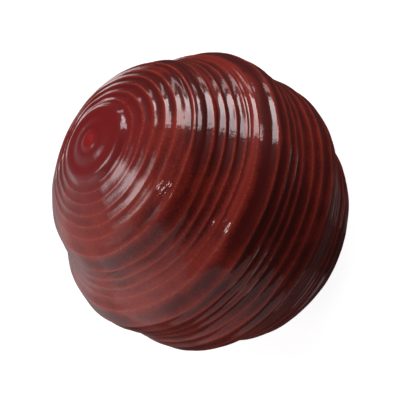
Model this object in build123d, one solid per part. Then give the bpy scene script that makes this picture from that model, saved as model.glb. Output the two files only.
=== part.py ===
from build123d import *
import math
import os

# A hollow stoneware ball, thrown on a wheel as two halves, joined at the equator and glazed.
# Millimetres. +Z runs up the throwing axis, from the foot ring, which stands on Z = 0, to the
# closed pole. Angles are in degrees from the closed pole, seen from the ball's centre.

# Overall size
BALL_RADIUS = 63.5          # at the crests of the bulging bands
CENTRE_HEIGHT = 61.0        # centre of the ball above the foot ring's face

# Clay wall
CAVITY_RADIUS = 55.5        # leaves about 8 mm of clay in the bands and 4 mm in the waists
FLOOR_HEIGHT = 8.0          # top of the flat floor inside, above the foot ring's face
FLOOR_FILLET = 6.0

# Waists between the bulging bands: angle from the pole, depth, half width, flatness (2 is round)
WAISTS = [
    (57.0, 3.1, 9.6, 3.0),
    (89.8, 2.7, 10.0, 2.0),
    (119.2, 3.2, 8.8, 2.0),
]
SWELL_ANGLE = 75.0          # the band above the equator bulges more than the others
SWELL_HEIGHT = 0.7
SWELL_WIDTH = 7.0
POLE_FLATTENING = 0.5       # how much lower the pole is than a true ball
FLATTENING_WIDTH = 20.0

# Smooth raised disc at the closed pole, hollowed round a small button in its middle
DISC_HEIGHT = 1.6
DISC_EDGE_ANGLE = 13.4      # where its shoulder starts
DISC_FOOT_ANGLE = 17.4      # where its shoulder ends
DISC_HOLLOW = 0.5           # depth of the hollow between the button and the shoulder
DISC_FOOT_FLUTE = 0.1       # depth of the shallow flute between the disc and the first ridge
BUTTON_ANGLE = 2.6          # crest of the button
BUTTON_END_ANGLE = 5.2
BUTTON_HEIGHT = 0.3
BUTTON_INNER_SHARE = 0.3    # share of the button's height halfway in from its crest
BUTTON_OUTER_SHARE = 0.4    # share of the button's height halfway out from its crest

# Throwing ridges: the crest angles of each run of ridges, and how deep its flutes are
RIDGE_RUNS = [
    # first crest, last crest, number of pitches, flute depth
    (18.8, 31.5, 3, 0.46),
    (31.5, 35.6, 1, 0.38),
    (35.6, 42.0, 1, 0.42),
    (42.0, 49.5, 1, 0.56),
    (49.5, 62.0, 3, 0.44),
    (62.0, 66.1, 1, 0.12),
    (66.1, 74.4, 1, 0.64),
    (74.4, 79.3, 1, 0.60),
    (79.3, 87.8, 2, 0.42),
    (87.8, 93.6, 1, 0.52),
    (93.6, 98.2, 1, 0.42),
    (98.2, 104.3, 1, 0.54),
    (104.3, 120.0, 5, 0.30),
    (120.0, 156.0, 8, 0.44),
]

# Glaze coat
GLAZE_ON_CRESTS = 0.35
GLAZE_IN_FLUTES = 0.60
GLAZE_END = 156.0           # the glaze is wiped off from here down

# Foot ring and vent
FOOT_OUTER_RADIUS = 22.0
FOOT_INNER_RADIUS = 17.0
FOOT_RECESS = 1.5
FOOT_BEVEL = 0.8
VENT_RADIUS = 4.0

# Joint at the equator
SLIP_THICKNESS = 1.0
COIL_RADIUS = 4.0           # section of the coil pressed over the joint inside
COIL_SINK = 1.2             # how far the coil's centre stands inside the cavity wall


def disc_rise(angle):
    """How far the raised disc lifts the surface at an angle from the pole."""
    share = (angle - DISC_EDGE_ANGLE) / (DISC_FOOT_ANGLE - DISC_EDGE_ANGLE)
    share = min(max(share, 0.0), 1.0)
    return DISC_HEIGHT * (1 - share * share * (3 - 2 * share))


def envelope(angle):
    """Radius of the surface through the ridge crests, at an angle from the pole."""
    radius = BALL_RADIUS - POLE_FLATTENING * math.exp(-((angle / FLATTENING_WIDTH) ** 2))
    radius += SWELL_HEIGHT * math.exp(-(((angle - SWELL_ANGLE) / SWELL_WIDTH) ** 2))
    for waist_angle, depth, width, flatness in WAISTS:
        radius -= depth * math.exp(-((abs(angle - waist_angle) / width) ** flatness))
    return radius + disc_rise(angle)


def on_section(angle, radius):
    """Point of the half section in the XZ plane, from the ball's centre."""
    turn = math.radians(angle)
    return (radius * math.sin(turn), 0, CENTRE_HEIGHT + radius * math.cos(turn))


def flutes():
    """The disc and each flute between two neighbouring crests: (start angle, end angle, depth)."""
    disc_middle = 0.5 * (DISC_EDGE_ANGLE + DISC_FOOT_ANGLE)
    spans = [
        (BUTTON_END_ANGLE, DISC_EDGE_ANGLE, DISC_HOLLOW),
        (DISC_EDGE_ANGLE, disc_middle, 0.0),
        (disc_middle, DISC_FOOT_ANGLE, 0.0),
        (DISC_FOOT_ANGLE, RIDGE_RUNS[0][0], DISC_FOOT_FLUTE),
    ]
    for first, last, count, depth in RIDGE_RUNS:
        pitch = (last - first) / count
        for step in range(count):
            start = first + step * pitch
            spans.append((start, start + pitch, depth))
    return spans


def button_line(crest_cover, flute_cover):
    """Edges over the button, from the axis down to the disc."""
    top = on_section(0, envelope(0) - flute_cover)
    crest = on_section(BUTTON_ANGLE, envelope(BUTTON_ANGLE) + BUTTON_HEIGHT - crest_cover)
    end = on_section(BUTTON_END_ANGLE, envelope(BUTTON_END_ANGLE) - crest_cover)
    inner = 0.5 * BUTTON_ANGLE
    inner_radius = envelope(inner) + BUTTON_INNER_SHARE * BUTTON_HEIGHT - flute_cover
    outer = 0.5 * (BUTTON_ANGLE + BUTTON_END_ANGLE)
    outer_radius = envelope(outer) + BUTTON_OUTER_SHARE * BUTTON_HEIGHT - crest_cover
    return [
        ThreePointArc(top, on_section(inner, inner_radius), crest),
        ThreePointArc(crest, on_section(outer, outer_radius), end),
    ]


def fluted_line(crest_cover, flute_cover):
    """Edges of the fluted surface, set in by the glaze cover on the crests and in the flutes."""
    edges = button_line(crest_cover, flute_cover)
    for start, end, depth in flutes():
        middle = 0.5 * (start + end)
        edges.append(
            ThreePointArc(
                on_section(start, envelope(start) - crest_cover),
                on_section(middle, envelope(middle) - depth - flute_cover),
                on_section(end, envelope(end) - crest_cover),
            )
        )
    return edges


def revolved(edges):
    """Solid of revolution about the throwing axis from a closed loop of edges."""
    return revolve(make_face(Curve() + edges), Axis.Z)


def glaze_coat():
    outer = fluted_line(0, 0)
    inner = fluted_line(GLAZE_ON_CRESTS, GLAZE_IN_FLUTES)
    top = Line(outer[0] @ 0, inner[0] @ 0)
    lip = Line(outer[-1] @ 1, inner[-1] @ 1)
    return revolved(outer + inner + [top, lip])


def clay_ball():
    """Both halves and the slip as one, before they are parted at the joint."""
    skin = fluted_line(GLAZE_ON_CRESTS, GLAZE_IN_FLUTES)
    skin_top = skin[0] @ 0
    skin_end = skin[-1] @ 1
    foot = Polyline(
        skin_end,
        (FOOT_OUTER_RADIUS, 0, FOOT_BEVEL),
        (FOOT_OUTER_RADIUS - FOOT_BEVEL, 0, 0),
        (FOOT_INNER_RADIUS + FOOT_BEVEL, 0, 0),
        (FOOT_INNER_RADIUS, 0, FOOT_BEVEL),
        (FOOT_INNER_RADIUS - FOOT_BEVEL, 0, FOOT_RECESS),
        (0, 0, FOOT_RECESS),
        skin_top,
    )
    body = revolved(skin + [foot])
    return body - cavity()


def cavity():
    """The hollow: a ball with its bottom cut flat, and the vent through the floor."""
    hollow = Pos(0, 0, CENTRE_HEIGHT) * Sphere(CAVITY_RADIUS)
    hollow = split(hollow, Plane.XY.offset(FLOOR_HEIGHT), keep=Keep.TOP)
    floor_edge = hollow.edges().filter_by(GeomType.CIRCLE).sort_by(Axis.Z)[0]
    hollow = fillet(floor_edge, FLOOR_FILLET)
    vent = Cylinder(VENT_RADIUS, 2 * FLOOR_HEIGHT)
    return hollow + vent


def slab(low, high):
    """A thick disc wider than the ball, between two heights."""
    width = 4 * BALL_RADIUS
    return Pos(0, 0, low) * Box(width, width, high - low, align=(Align.CENTER, Align.CENTER, Align.MIN))


def seam_coil():
    ring = Torus(CAVITY_RADIUS - COIL_SINK, COIL_RADIUS)
    ring = Pos(0, 0, CENTRE_HEIGHT) * ring
    return ring & (Pos(0, 0, CENTRE_HEIGHT) * Sphere(CAVITY_RADIUS))


def main():
    os.makedirs("parts", exist_ok=True)
    clay = clay_ball()
    joint_top = CENTRE_HEIGHT + 0.5 * SLIP_THICKNESS
    joint_bottom = CENTRE_HEIGHT - 0.5 * SLIP_THICKNESS
    parts = {
        "upper_shell": clay & slab(joint_top, 3 * BALL_RADIUS),
        "lower_shell": clay & slab(-BALL_RADIUS, joint_bottom),
        "seam_slip": clay & slab(joint_bottom, joint_top),
        "seam_coil": seam_coil(),
        "glaze_coat": glaze_coat(),
    }
    for name, shape in parts.items():
        export_step(shape, f"parts/{name}.step")


main()
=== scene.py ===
import math

import bpy
import numpy as np
from mathutils import Matrix, Vector


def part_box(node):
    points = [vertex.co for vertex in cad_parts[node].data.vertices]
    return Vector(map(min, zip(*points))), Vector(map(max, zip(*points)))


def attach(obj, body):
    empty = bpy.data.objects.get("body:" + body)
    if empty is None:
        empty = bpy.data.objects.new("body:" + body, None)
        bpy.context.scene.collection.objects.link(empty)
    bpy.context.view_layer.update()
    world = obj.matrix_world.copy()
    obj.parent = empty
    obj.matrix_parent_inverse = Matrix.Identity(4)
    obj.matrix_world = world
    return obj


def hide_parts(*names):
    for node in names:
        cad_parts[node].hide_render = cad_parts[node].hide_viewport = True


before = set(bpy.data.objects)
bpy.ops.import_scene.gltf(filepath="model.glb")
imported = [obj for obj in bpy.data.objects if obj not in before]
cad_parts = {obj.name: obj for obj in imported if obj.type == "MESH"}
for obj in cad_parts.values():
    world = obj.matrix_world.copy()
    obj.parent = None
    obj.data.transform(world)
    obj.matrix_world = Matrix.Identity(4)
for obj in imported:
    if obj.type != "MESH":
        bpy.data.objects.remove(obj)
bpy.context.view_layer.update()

# A hollow stoneware ball with an oxblood glaze, thrown on a potter's wheel in two halves.
# Shapes are worked out in millimetres and degrees. "angle" runs from the closed pole, as seen
# from the ball's centre, and "turn" runs round the throwing axis, from 0 at -Y to 90 at +X.
MM = 0.001

# The ball, with its centre and joint where the frame has them
slip_low, slip_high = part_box("seam_slip")
coil_low, coil_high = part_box("seam_coil")
CENTRE_HEIGHT = 0.5 * (slip_low.z + slip_high.z) / MM
JOINT_GAP = (slip_high.z - slip_low.z) / MM
CAVITY_RADIUS = coil_high.x / MM
COIL_RADIUS = 0.5 * (coil_high.z - coil_low.z) / MM
# How far the coil's centre stands inside the wall of the hollow, how deep and how many the dents
# along it are, and the step in degrees between the points round its section
COIL_SINK = 1.2
COIL_DENT_SHARE = 0.07
COIL_DENTS = 26
COIL_STEP = 15
# Radius at the crests of the bulging bands
BALL_RADIUS = 63.5

# Points round the ball, and rings of points along each surface
COLUMNS = 160
GLAZE_RINGS = 560
GLAZE_BACK_RINGS = 40
UPPER_CLAY_RINGS = 120
UPPER_CAVITY_RINGS = 60
LOWER_CLAY_RINGS = 90
LOWER_CAVITY_RINGS = 50
# The first ring round the tip of each surface, and the rings nearest to the joint
GLAZE_TIP_ANGLE = 0.4
CLAY_TIP_ANGLE = 0.8
CAVITY_TIP_ANGLE = 2.0
ABOVE_JOINT_ANGLE = 89.0
BELOW_JOINT_ANGLE = 91.0

# Glaze coat: where it ends, how far past that its underside starts, its thickness on the crests and
# in the deepest pools, how deep those are, and the bead at its edge (angle, half width, height)
GLAZE_END = 156.0
GLAZE_LIP = 0.3
GLAZE_ON_CRESTS = 0.35
GLAZE_IN_FLUTES = 0.60
DEEP_POOL = 0.45
GLAZE_BEAD = (155.0, 0.9, 0.25)

# Foot ring, floor and vent, as (distance from the axis, height) round the bare clay
FOOT_LINE = [
    (24.4, 2.55),
    (23.3, 1.75),
    (22.3, 1.25),
    (22.0, 0.80),
    (21.8, 0.30),
    (21.2, 0.00),
    (17.8, 0.00),
    (17.2, 0.30),
    (17.0, 0.80),
    (16.2, 1.35),
    (15.0, 1.50),
    (4.6, 1.50),
    (4.0, 1.90),
    (4.0, 7.60),
    (4.6, 8.00),
    (14.0, 8.00),
    (17.6, 8.50),
    (20.6, 9.90),
]
# The wall of the hollow: where it starts, how far it stands outside the solid's, and the height,
# crowding and fade-in angles of the finger marks on it
CAVITY_START = 155.0
CAVITY_SET_OUT = 0.10
FINGER_MARK_HEIGHT = 0.10
FINGER_MARKS_PER_TURN = 40.0
FINGER_MARK_FADE = (5.0, 20.0)

# Waists between the bulging bands: angle, depth, half width, and how flat-bottomed each is
WAISTS = [
    (57.0, 3.1, 9.6, 3.0),
    (89.8, 2.7, 10.0, 2.0),
    (119.2, 3.2, 8.8, 2.0),
]
# Each waist lies this many degrees nearer the pole on the +X side than in front
WAIST_TILT = 1.0
# The band above the equator bulges more than the others: angle, height, half width
SWELL = (75.0, 0.7, 7.0)
# How much lower the pole is than a true ball, and the angle that this reaches to
POLE_FLATTENING = 0.5
FLATTENING_WIDTH = 20.0
# How far the throwing wandered off the axis towards +X, at these angles
SWAY_ANGLES = (0.0, 30.0, 45.0, 60.0, 78.0, 130.0)
SWAYS = (0.0, 1.35, 0.95, 0.2, -0.3, 0.0)

# Throwing ridges: first crest, last crest, number of pitches, flute depth, crest breadth, and the
# share of the way to the next crest where the flute is deepest
RIDGE_RUNS = [
    (9.4, 14.4, 1, 0.00, 1.0, 0.5),
    (14.4, 18.8, 1, 0.20, 1.0, 0.5),
    (18.8, 31.5, 3, 0.46, 1.0, 0.5),
    (31.5, 35.6, 1, 0.38, 1.0, 0.5),
    (35.6, 42.0, 1, 0.42, 1.3, 0.84),
    (42.0, 49.5, 1, 0.56, 1.0, 0.74),
    (49.5, 57.9, 2, 0.44, 1.0, 0.35),
    (57.9, 62.0, 1, 0.34, 1.0, 0.50),
    (62.0, 66.1, 1, 0.12, 1.0, 0.20),
    (66.1, 74.4, 1, 0.64, 1.2, 0.72),
    (74.4, 79.3, 1, 0.60, 1.4, 0.5),
    (79.3, 87.8, 2, 0.42, 1.0, 0.5),
    (87.8, 93.6, 1, 0.52, 1.0, 0.5),
    (93.6, 98.2, 1, 0.42, 1.0, 0.5),
    (98.2, 104.3, 1, 0.54, 1.5, 0.5),
    (104.3, 120.0, 5, 0.30, 1.0, 0.5),
    (120.0, 156.0, 8, 0.44, 1.0, 0.5),
]
# Finer tool lines that follow the spiral and fade out on the shallow side of the ball: angle,
# depth (less than nothing for a ridge), half width
TOOL_LINES = [
    (39.2, -0.38, 1.1),
    (43.5, 0.22, 0.8),
    (46.8, 0.25, 0.8),
    (63.1, 0.18, 0.6),
    (64.8, -0.34, 1.0),
]
# The flutes are deeper on one side of the ball than on the other: by this much, at these angles,
# towards these turns
DEEPER_ANGLES = (0.0, 32.0, 39.0, 46.0)
DEEPER_SHARES = (0.65, 0.65, 0.75, 0.40)
DEEPER_TURNS = (130.0, 130.0, 105.0, 90.0)
# Half width of the line along each crest where the glaze breaks to rust
THIN_LINE = 0.40
# The pole was closed and left as a smooth, slightly raised disc, whose shoulder lies between these
# angles
DISC_EDGE = (13.4, 17.4)
DISC_HEIGHT = 1.60
# The crimson tint fades in between these cosines of the angle from the pole
POLE_TINT = (0.84, 0.98)
# The ring of the button at the pole, and the hollows in the disc round it: angle, half width, height
BUTTON = (2.6, 1.1, 0.30)
DISC_HOLLOWS = [(4.9, 0.9, -0.10), (9.7, 2.3, -0.50)]
# The angle that the button's redder tint reaches to
BUTTON_BLUSH = 3.4
# The turn at which the crests of the spiral are at the angles given above
SPIRAL_START = 10.0
# How far the ridges lean over towards +X, at these angles
LEAN_ANGLES = (0.0, 45.0, 85.0, 130.0)
LEANS = (-0.5, -0.4, 0.3, 0.4)

# The unevenness of hand throwing: size, waves round the ball, waves from pole to foot, phase
WANDER = [
    (0.16, 3, -1.7, 2.1),
    (0.11, 7, 3.1, 4.0),
    (0.06, 13, 5.3, 1.2),
]
LUMPS = [
    (0.16, 2, 1.3, 1.0),
    (0.10, 5, -3.2, 2.6),
    (0.05, 9, 6.1, 0.3),
    (0.025, 17, 9.4, 5.1),
]
PRESSURE = [
    (0.22, 3, 5.0, 0.9),
    (0.16, 8, -7.0, 3.3),
]

# The view: the camera looks at the ball's centre from this elevation and this many millimetres
# away, turned about its own line of sight so that the pole points up and to the left
VIEW_ELEVATION = 37.8
VIEW_DISTANCE = 12.0 * 62.8
VIEW_ROLL = -61.05
VIEW_LENS = 159.8
VIEW_SENSOR = 36.0
VIEW_SHIFT = 0.004
# The studio: radius of the floor and dome in metres, how far the floor lies below the foot in
# millimetres, and the grey and the glow of each
STUDIO_RADIUS = 5.0
FLOOR_GAP = 0.1
FLOOR_LOOK = (0.30, 0.90)
DOME_LOOK = (0.0, 1.0)
# The room: its dim glow, and softly bright regions by their direction in the picture (across, up,
# back), the angles at which they start to fade and have faded, and brightness
ROOM_GLOW = 0.03
ROOM_REGIONS = [
    (-0.84, -0.45, -0.30, 20.0, 55.0, 0.40),
    (-0.60, -0.50, 0.62, 10.0, 45.0, 0.13),
    (-0.45, -0.02, -0.89, 8.0, 30.0, 0.25),
    (-0.50, 0.60, 0.60, 20.0, 60.0, 0.07),
]
# The lamps: name, direction in the picture (across, up, back), width, height, distance, brightness
LAMP_TINT = (1.0, 0.91, 0.93)
LAMPS = [
    ("overhead", 0.12, 0.971, 0.183, 0.36, 0.30, 0.9, 8.5),
    ("overhead_front", 0.12, 0.884, 0.442, 0.74, 0.20, 0.9, 6.5),
    ("overhead_back", -0.02, 0.987, -0.170, 0.56, 0.10, 0.9, 3.0),
    ("left_soft", -0.86, 0.19, 0.47, 0.24, 0.24, 0.8, 6.0),
    ("left_soft", -0.86, 0.19, 0.47, 0.38, 0.38, 0.8, 2.8),
    ("left_soft", -0.86, 0.19, 0.47, 0.52, 0.52, 0.8, 0.8),
    ("table", -0.22, -0.93, 0.25, 1.2, 0.8, 0.5, 0.33),
    ("backdrop", -0.42, 0.38, -0.84, 0.34, 0.55, 1.0, 1.4),
    ("glint", -0.39, 0.06, 0.92, 0.025, 0.07, 1.0, 30.0),
    ("far_strip", 0.78, 0.05, -0.64, 0.10, 0.30, 1.0, 0.4),
    ("low_strip", 0.66, -0.62, -0.42, 0.40, 0.12, 1.0, 0.6),
]
# A lamp that lights the ball but isn't mirrored in it
FILL_LAMP = ("fill", -0.75, -0.60, 0.25, 1.2, 1.2, 1.5, 1.7)


def smooth_step(value, low, high):
    share = np.clip((value - low) / (high - low), 0.0, 1.0)
    return share * share * (3.0 - 2.0 * share)


def waves(terms, angle, turn):
    """Sum of slow waves over the ball that close on themselves round the axis."""
    total = 0.0
    for size, around, along, phase in terms:
        total = total + size * np.sin(np.radians(around * turn + along * angle) + phase)
    return total


def crest_angles():
    angles = [RIDGE_RUNS[0][0]]
    for first, last, pitches, *_ in RIDGE_RUNS:
        for step in range(pitches):
            angles.append(first + (step + 1) * (last - first) / pitches)
    return angles


def run_values(column):
    """One column of the ridge runs, as (middle angles, values) of every flute."""
    middles = []
    values = []
    for run in RIDGE_RUNS:
        pitch = (run[1] - run[0]) / run[2]
        for step in range(run[2]):
            middles.append(run[0] + (step + 0.5) * pitch)
            values.append(run[column])
    return middles, values


CRESTS = crest_angles()
DEPTHS = run_values(3)
BREADTHS = run_values(4)
DEEPEST = run_values(5)
PITCHES = (DEPTHS[0], list(np.diff(CRESTS)))


def envelope(angle, turn):
    """Radius of the surface through the ridge crests."""
    side = np.sin(np.radians(turn))
    radius = BALL_RADIUS - POLE_FLATTENING * np.exp(-((angle / FLATTENING_WIDTH) ** 2))
    for place, depth, width, flatness in WAISTS:
        away = np.abs(angle - place + WAIST_TILT * side) / width
        radius = radius - depth * np.exp(-(away**flatness))
    place, height, width = SWELL
    radius = radius + height * np.exp(-(((angle - place) / width) ** 2))
    return radius + np.interp(angle, SWAY_ANGLES, SWAYS) * side


def glaze_surface(angle, turn):
    """Radius of the glaze, and its paint: depth of its pools (mm), crest lines and pole button."""
    calm = smooth_step(angle, *DISC_EDGE)
    lean = np.interp(angle, LEAN_ANGLES, LEANS) * np.sin(np.radians(turn))
    wandered = angle + calm * (lean + waves(WANDER, angle, turn))
    radius = envelope(wandered, turn) + calm * waves(LUMPS, angle, turn)
    index = np.interp(wandered, CRESTS, np.arange(len(CRESTS)))
    share = (index + (turn - SPIRAL_START) / 360.0) % 1.0
    from_deeper = np.radians(turn - np.interp(wandered, DEEPER_ANGLES, DEEPER_TURNS))
    deeper_side = 0.5 + 0.5 * np.cos(from_deeper)
    deepest = 0.5 + (np.interp(wandered, *DEEPEST) - 0.5) * deeper_side
    reach = np.where(share < deepest, share / deepest, (1.0 - share) / (1.0 - deepest))
    flute = np.sin(0.5 * np.pi * reach) ** np.interp(wandered, *BREADTHS)
    depth = np.interp(wandered, *DEPTHS) * (1.0 + calm * waves(PRESSURE, angle, turn))
    depth = depth * (1.0 + np.interp(wandered, DEEPER_ANGLES, DEEPER_SHARES) * np.cos(from_deeper))
    cut = depth * flute
    along = np.interp(index + (turn - SPIRAL_START) / 360.0, np.arange(len(CRESTS)), CRESTS)
    for place, height, width in TOOL_LINES:
        cut = cut + deeper_side * height * np.exp(-(((along - place) / width) ** 2))
    radius = radius - calm * cut + DISC_HEIGHT * (1.0 - calm)
    for place, width, height in (BUTTON, *DISC_HOLLOWS, GLAZE_BEAD):
        radius = radius + height * np.exp(-(((angle - place) / width) ** 2))
    from_crest = np.minimum(share, 1.0 - share) * np.interp(wandered, *PITCHES)
    line = calm * np.exp(-((from_crest / THIN_LINE) ** 2))
    button = np.exp(-((angle / BUTTON_BLUSH) ** 4))
    pool, line, button = np.broadcast_arrays(calm * cut, line, button)
    return radius, np.stack([pool, line, button], axis=-1)


def clay_surface(angle, turn):
    """Radius of the clay under the glaze, which is thinnest on the crests."""
    radius, paint = glaze_surface(angle, turn)
    pooled = np.minimum(paint[..., 0] / DEEP_POOL, 1.0)
    return radius - GLAZE_ON_CRESTS - (GLAZE_IN_FLUTES - GLAZE_ON_CRESTS) * pooled, paint


def turns():
    return (np.arange(COLUMNS) * 360.0 / COLUMNS)[None, :]


def place_points(angle, turn, radius):
    """Points in metres from polar places on the ball."""
    out = radius * np.sin(np.radians(angle))
    x = out * np.sin(np.radians(turn))
    y = -out * np.cos(np.radians(turn))
    z = CENTRE_HEIGHT + radius * np.cos(np.radians(angle))
    return np.stack(np.broadcast_arrays(x, y, z), axis=-1) * MM


def surface_rings(surface, first, last, count):
    """Rings of points over a surface, from one angle to another, each with its paint."""
    angle = np.linspace(first, last, count)[:, None]
    radius, paint = surface(angle, turns())
    return list(zip(place_points(angle, turns(), radius), paint))


def tip(surface):
    """The one point of a surface at the closed pole."""
    radius, paint = surface(np.zeros((1, 1)), np.zeros((1, 1)))
    return place_points(np.zeros((1, 1)), np.zeros((1, 1)), radius)[0], paint[0]


def flat_ring(distance, height):
    """A level ring round the axis. The distance may change round it."""
    turn = np.radians(turns()[0])
    out = np.broadcast_to(distance, turn.shape)
    points = np.stack([out * np.sin(turn), -out * np.cos(turn), np.full(turn.shape, height)], -1)
    return points * MM, np.zeros((COLUMNS, 3))


def cavity_surface(angle, turn):
    """The wall of the hollow, with the soft finger marks of the inside hand."""
    marks = FINGER_MARK_HEIGHT * np.sin(np.radians(angle * FINGER_MARKS_PER_TURN + turn))
    radius = CAVITY_RADIUS + CAVITY_SET_OUT + marks * smooth_step(angle, *FINGER_MARK_FADE)
    return radius, np.zeros((*radius.shape, 3))


def rim_rings(height):
    """The outer and inner edges of the clay wall where it is cut level at a height."""
    level = 90.0 - math.degrees(math.asin((height - CENTRE_HEIGHT) / BALL_RADIUS))
    outer, _ = clay_surface(np.full((1, 1), level), turns())
    inner, _ = cavity_surface(np.full((1, 1), level), turns())
    share = math.sin(math.radians(level))
    return flat_ring(outer[0] * share, height), flat_ring(inner[0] * share, height)


def mesh_from_rings(name, rings, closed=False):
    """One closed mesh from rings of points, joined one to the next. A ring of one point is a tip."""
    faces = []
    starts = np.cumsum([0] + [len(points) for points, _ in rings])
    pairs = list(zip(range(len(rings) - 1), range(1, len(rings))))
    if closed:
        pairs.append((len(rings) - 1, 0))
    for upper, lower in pairs:
        above = starts[upper] + np.arange(COLUMNS) % len(rings[upper][0])
        below = starts[lower] + np.arange(COLUMNS) % len(rings[lower][0])
        next_above = np.roll(above, -1)
        next_below = np.roll(below, -1)
        if len(rings[upper][0]) == 1:
            faces += np.stack([above, below, next_below], axis=1).tolist()
        elif len(rings[lower][0]) == 1:
            faces += np.stack([above, below, next_above], axis=1).tolist()
        else:
            faces += np.stack([above, below, next_below, next_above], axis=1).tolist()
    mesh = bpy.data.meshes.new(name)
    mesh.from_pydata(np.concatenate([points for points, _ in rings]).tolist(), [], faces)
    mesh.polygons.foreach_set("use_smooth", np.ones(len(mesh.polygons), bool))
    paint = np.concatenate([paint for _, paint in rings])
    places = np.concatenate([points for points, _ in rings]) / MM - [0.0, 0.0, CENTRE_HEIGHT]
    near_pole = smooth_step(places[:, 2] / np.linalg.norm(places, axis=1), *POLE_TINT)
    for label, values in zip(("pool", "line", "button", "pole"), (*paint.T, near_pole)):
        attribute = mesh.attributes.new(label, "FLOAT", "POINT")
        attribute.data.foreach_set("value", values.astype(np.float32))
    mesh.update()
    piece = bpy.data.objects.new(name, mesh)
    bpy.context.collection.objects.link(piece)
    return piece


def make_glaze_coat():
    """The fused glass coat: ridged outside, a rolled bead at its lower edge, clay under it."""
    rings = [tip(glaze_surface)]
    rings += surface_rings(glaze_surface, GLAZE_TIP_ANGLE, GLAZE_END, GLAZE_RINGS)
    rings += surface_rings(clay_surface, GLAZE_END + GLAZE_LIP, CLAY_TIP_ANGLE, GLAZE_BACK_RINGS)
    rings += [tip(clay_surface)]
    return mesh_from_rings("glaze_skin", rings)


def make_upper_shell():
    """The thrown half with the closed pole, cut level at the joint."""
    outer_rim, inner_rim = rim_rings(CENTRE_HEIGHT + 0.5 * JOINT_GAP)
    rings = [tip(clay_surface)]
    rings += surface_rings(clay_surface, CLAY_TIP_ANGLE, ABOVE_JOINT_ANGLE, UPPER_CLAY_RINGS)
    rings += [outer_rim, inner_rim]
    rings += surface_rings(cavity_surface, ABOVE_JOINT_ANGLE, CAVITY_TIP_ANGLE, UPPER_CAVITY_RINGS)
    rings += [tip(cavity_surface)]
    return mesh_from_rings("upper_clay", rings)


def make_lower_shell():
    """The thrown half with the foot ring, the flat floor and the vent through it."""
    outer_rim, inner_rim = rim_rings(CENTRE_HEIGHT - 0.5 * JOINT_GAP)
    rings = [outer_rim]
    rings += surface_rings(clay_surface, BELOW_JOINT_ANGLE, GLAZE_END + GLAZE_LIP, LOWER_CLAY_RINGS)
    rings += [flat_ring(distance, height) for distance, height in FOOT_LINE]
    rings += surface_rings(cavity_surface, CAVITY_START, BELOW_JOINT_ANGLE, LOWER_CAVITY_RINGS)
    rings += [inner_rim]
    return mesh_from_rings("lower_clay", rings, closed=True)


def make_seam_slip():
    """The layer of slip between the two scored rims."""
    top_outer, top_inner = rim_rings(CENTRE_HEIGHT + 0.5 * JOINT_GAP)
    low_outer, low_inner = rim_rings(CENTRE_HEIGHT - 0.5 * JOINT_GAP)
    return mesh_from_rings("slip_ring", [top_outer, low_outer, low_inner, top_inner], closed=True)


def make_seam_coil():
    """The soft coil pressed over the joint inside, with the dents that fingers leave."""
    rings = []
    turn = turns()[0]
    dents = 1.0 - COIL_DENT_SHARE * (0.5 + 0.5 * np.sin(np.radians(COIL_DENTS * turn))) ** 2
    for section in np.arange(0, 360, COIL_STEP):
        lift = COIL_RADIUS * dents * math.sin(math.radians(section))
        out = CAVITY_RADIUS - COIL_SINK + COIL_RADIUS * dents * math.cos(math.radians(section))
        reach = np.hypot(out, lift)
        out = out * np.minimum(1.0, CAVITY_RADIUS / reach)
        lift = lift * np.minimum(1.0, CAVITY_RADIUS / reach)
        rings.append(flat_ring(out, CENTRE_HEIGHT - lift))
    return mesh_from_rings("inner_coil", rings, closed=True)


def make_camera():
    """The camera, and the directions right, up and back of the picture it takes."""
    lean = math.radians(VIEW_ELEVATION)
    roll = math.radians(VIEW_ROLL)
    level = Vector((1.0, 0.0, 0.0))
    above = Vector((0.0, math.sin(lean), math.cos(lean)))
    back = Vector((0.0, -math.cos(lean), math.sin(lean)))
    right = math.cos(roll) * level + math.sin(roll) * above
    up = math.cos(roll) * above - math.sin(roll) * level
    data = bpy.data.cameras.new("camera")
    data.lens = VIEW_LENS
    data.sensor_width = VIEW_SENSOR
    data.shift_y = VIEW_SHIFT
    camera = bpy.data.objects.new("camera", data)
    bpy.context.collection.objects.link(camera)
    turned = Matrix((right, up, back)).transposed().to_4x4()
    camera.matrix_world = Matrix.Translation(CENTRE + back * VIEW_DISTANCE * MM) @ turned
    bpy.context.scene.camera = camera
    return right, up, back


def new_material(name):
    material = bpy.data.materials.new(name)
    material.use_nodes = True
    tree = material.node_tree
    return material, tree.nodes, tree.links, tree.nodes["Principled BSDF"]


def colour_ramp(nodes, stops):
    ramp = nodes.new("ShaderNodeValToRGB")
    elements = ramp.color_ramp.elements
    for element, (place, colour) in zip(elements, (stops[0], stops[-1])):
        element.position = place
        element.color = (*colour, 1)
    for place, colour in stops[1:-1]:
        elements.new(place).color = (*colour, 1)
    return ramp


def attribute(nodes, name):
    node = nodes.new("ShaderNodeAttribute")
    node.attribute_name = name
    return node.outputs["Fac"]


def math_node(nodes, links, operation, first, second):
    node = nodes.new("ShaderNodeMath")
    node.operation = operation
    for socket, value in zip(node.inputs, (first, second)):
        if isinstance(value, (int, float)):
            socket.default_value = value
        else:
            links.new(value, socket)
    return node.outputs[0]


def noise(nodes, links, place, scale, detail=2.0, rough=0.5):
    node = nodes.new("ShaderNodeTexNoise")
    node.inputs["Scale"].default_value = scale
    node.inputs["Detail"].default_value = detail
    node.inputs["Roughness"].default_value = rough
    links.new(place, node.inputs["Vector"])
    return node.outputs["Fac"]


def mix_colour(nodes, links, blend, share, first, second):
    node = nodes.new("ShaderNodeMix")
    node.data_type = "RGBA"
    node.blend_type = blend
    for socket, value in ((node.inputs[0], share), (node.inputs[6], first), (node.inputs[7], second)):
        if isinstance(value, (int, float)):
            socket.default_value = value
        elif isinstance(value, tuple):
            socket.default_value = (*value, 1)
        else:
            links.new(value, socket)
    return node.outputs[2]


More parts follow.
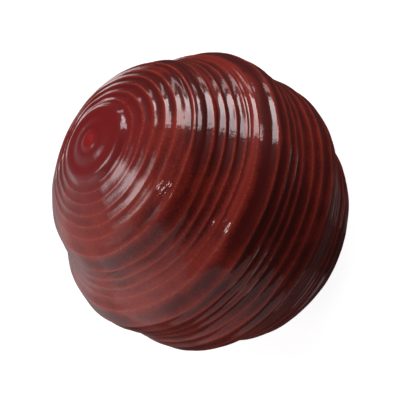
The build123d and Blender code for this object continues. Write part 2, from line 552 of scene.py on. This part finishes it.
def bump(nodes, links, height, distance, before=None):
    node = nodes.new("ShaderNodeBump")
    node.inputs["Strength"].default_value = 1.0
    node.inputs["Distance"].default_value = distance
    links.new(height, node.inputs["Height"])
    if before is not None:
        links.new(before, node.inputs["Normal"])
    return node.outputs["Normal"]


def glaze_material():
    """Oxblood glaze: dark where it pools in the flutes, breaking to rust where it thins."""
    material, nodes, links, shader = new_material("oxblood_glaze")
    place = nodes.new("ShaderNodeTexCoord").outputs["Object"]
    pool = attribute(nodes, "pool")
    speckle = noise(nodes, links, place, scale=1100.0, detail=3.0, rough=0.6)
    drift = noise(nodes, links, place, scale=90.0)
    uneven = math_node(nodes, links, "ADD", speckle, drift)
    uneven = math_node(nodes, links, "SUBTRACT", uneven, 1.0)
    uneven = math_node(nodes, links, "MULTIPLY", uneven, 0.80)
    thick = math_node(nodes, links, "ADD", pool, uneven)
    body = colour_ramp(nodes, [
        (0.00, (0.235, 0.0210, 0.0125)),
        (0.12, (0.200, 0.0175, 0.0105)),
        (0.28, (0.145, 0.0120, 0.0082)),
        (0.46, (0.085, 0.0078, 0.0062)),
    ])
    links.new(thick, body.inputs["Fac"])
    crimson = (0.170, 0.0095, 0.0110)
    colour = mix_colour(nodes, links, "MIX", attribute(nodes, "pole"), body.outputs["Color"], crimson)
    blush = (0.260, 0.0100, 0.0120)
    colour = mix_colour(nodes, links, "MIX", attribute(nodes, "button"), colour, blush)
    broken = math_node(nodes, links, "MULTIPLY", speckle, 4.5)
    broken = math_node(nodes, links, "SUBTRACT", broken, 1.8)
    thin = math_node(nodes, links, "MULTIPLY", attribute(nodes, "line"), broken)
    thin.node.use_clamp = True
    rust = (0.310, 0.0540, 0.0340)
    colour = mix_colour(nodes, links, "MIX", thin, colour, rust)
    links.new(colour, shader.inputs["Base Color"])
    peel = noise(nodes, links, place, scale=650.0)
    grain = noise(nodes, links, place, scale=2200.0, detail=1.0)
    soft = bump(nodes, links, peel, distance=0.050 * MM)
    fine = bump(nodes, links, grain, distance=0.014 * MM, before=soft)
    links.new(fine, shader.inputs["Coat Normal"])
    links.new(soft, shader.inputs["Normal"])
    shader.inputs["Roughness"].default_value = 0.45
    shader.inputs["Specular IOR Level"].default_value = 0.10
    shader.inputs["Coat Weight"].default_value = 1.0
    shader.inputs["Coat Roughness"].default_value = 0.03
    shader.inputs["Coat IOR"].default_value = 1.5
    return material


def stoneware_material(name, tint):
    """Bare fired stoneware: buff, with iron specks and the tooth of fine grog."""
    material, nodes, links, shader = new_material(name)
    place = nodes.new("ShaderNodeTexCoord").outputs["Object"]
    body = colour_ramp(nodes, [
        (0.30, tuple(0.80 * c for c in tint)),
        (0.70, tint),
    ])
    links.new(noise(nodes, links, place, scale=120.0, detail=4.0), body.inputs["Fac"])
    specks = colour_ramp(nodes, [(0.66, (1.0, 1.0, 1.0)), (0.72, (0.25, 0.16, 0.11))])
    links.new(noise(nodes, links, place, scale=1600.0, detail=1.0), specks.inputs["Fac"])
    colour = mix_colour(nodes, links, "MULTIPLY", 0.8, body.outputs["Color"], specks.outputs["Color"])
    links.new(colour, shader.inputs["Base Color"])
    grog = noise(nodes, links, place, scale=2400.0, detail=3.0)
    links.new(bump(nodes, links, grog, distance=0.060 * MM), shader.inputs["Normal"])
    shader.inputs["Roughness"].default_value = 0.85
    return material


def make_floor():
    """The pale floor, and the pale dome round it that low views look out to."""
    bpy.ops.mesh.primitive_circle_add(vertices=96, radius=STUDIO_RADIUS, fill_type="NGON")
    floor = bpy.context.object
    floor.name = "floor"
    floor.location.z = -FLOOR_GAP * MM
    bpy.ops.mesh.primitive_uv_sphere_add(segments=96, ring_count=48, radius=STUDIO_RADIUS)
    dome = bpy.context.object
    dome.name = "dome"
    for stage, (grey, glow) in ((floor, FLOOR_LOOK), (dome, DOME_LOOK)):
        material, *_, shader = new_material(stage.name)
        shader.inputs["Base Color"].default_value = (grey, grey, grey, 1)
        shader.inputs["Roughness"].default_value = 1.0
        shader.inputs["Specular IOR Level"].default_value = 0.0
        shader.inputs["Emission Color"].default_value = (1, 1, 1, 1)
        shader.inputs["Emission Strength"].default_value = glow
        stage.data.materials.append(material)
        stage.visible_glossy = False
        stage.visible_shadow = False
        stage.visible_diffuse = False


def make_light(name, across, up, back, width, height, distance, brightness):
    """A rectangular light that faces the ball, level with the picture."""
    facing = (across * PICTURE[0] + up * PICTURE[1] + back * PICTURE[2]).normalized()
    data = bpy.data.lights.new(name, "AREA")
    data.shape = "RECTANGLE"
    data.size = width
    data.size_y = height
    data.energy = brightness * width * height * math.pi
    data.color = LAMP_TINT
    light = bpy.data.objects.new(name, data)
    bpy.context.collection.objects.link(light)
    side = PICTURE[0]
    level = (side - side.dot(facing) * facing).normalized()
    turned = Matrix((level, facing.cross(level), facing)).transposed().to_4x4()
    light.matrix_world = Matrix.Translation(CENTRE + facing * distance) @ turned
    light.visible_camera = False
    return light


def make_world():
    """A dim room with soft bright regions, which the glaze mirrors."""
    world = bpy.data.worlds.new("world")
    world.use_nodes = True
    nodes = world.node_tree.nodes
    links = world.node_tree.links
    direction = nodes.new("ShaderNodeTexCoord").outputs["Generated"]
    total = ROOM_GLOW
    for across, up, back, inner, outer, brightness in ROOM_REGIONS:
        towards = nodes.new("ShaderNodeVectorMath")
        towards.operation = "DOT_PRODUCT"
        links.new(direction, towards.inputs[0])
        facing = across * PICTURE[0] + up * PICTURE[1] + back * PICTURE[2]
        towards.inputs[1].default_value = facing.normalized()
        fade = nodes.new("ShaderNodeMapRange")
        fade.interpolation_type = "SMOOTHSTEP"
        fade.inputs["From Min"].default_value = math.cos(math.radians(outer))
        fade.inputs["From Max"].default_value = math.cos(math.radians(inner))
        fade.inputs["To Max"].default_value = brightness
        links.new(towards.outputs["Value"], fade.inputs["Value"])
        total = math_node(nodes, links, "ADD", fade.outputs["Result"], total)
    tint = mix_colour(nodes, links, "MULTIPLY", 1.0, total, LAMP_TINT)
    links.new(tint, nodes["Background"].inputs["Color"])
    bpy.context.scene.world = world


def place_piece(piece, material, node):
    piece.data.materials.append(material)
    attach(piece, "root")
    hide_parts(node)


CENTRE = Vector((0.0, 0.0, CENTRE_HEIGHT * MM))
PICTURE = make_camera()

stoneware = stoneware_material("stoneware", (0.52, 0.35, 0.23))
slip = stoneware_material("slip", (0.47, 0.32, 0.22))
place_piece(make_glaze_coat(), glaze_material(), "glaze_coat")
place_piece(make_upper_shell(), stoneware, "upper_shell")
place_piece(make_lower_shell(), stoneware, "lower_shell")
place_piece(make_seam_slip(), slip, "seam_slip")
place_piece(make_seam_coil(), stoneware, "seam_coil")

make_floor()
make_world()
for lamp in LAMPS:
    make_light(*lamp)
fill = make_light(*FILL_LAMP)
fill.visible_glossy = False
bpy.context.scene.view_settings.view_transform = "Standard"
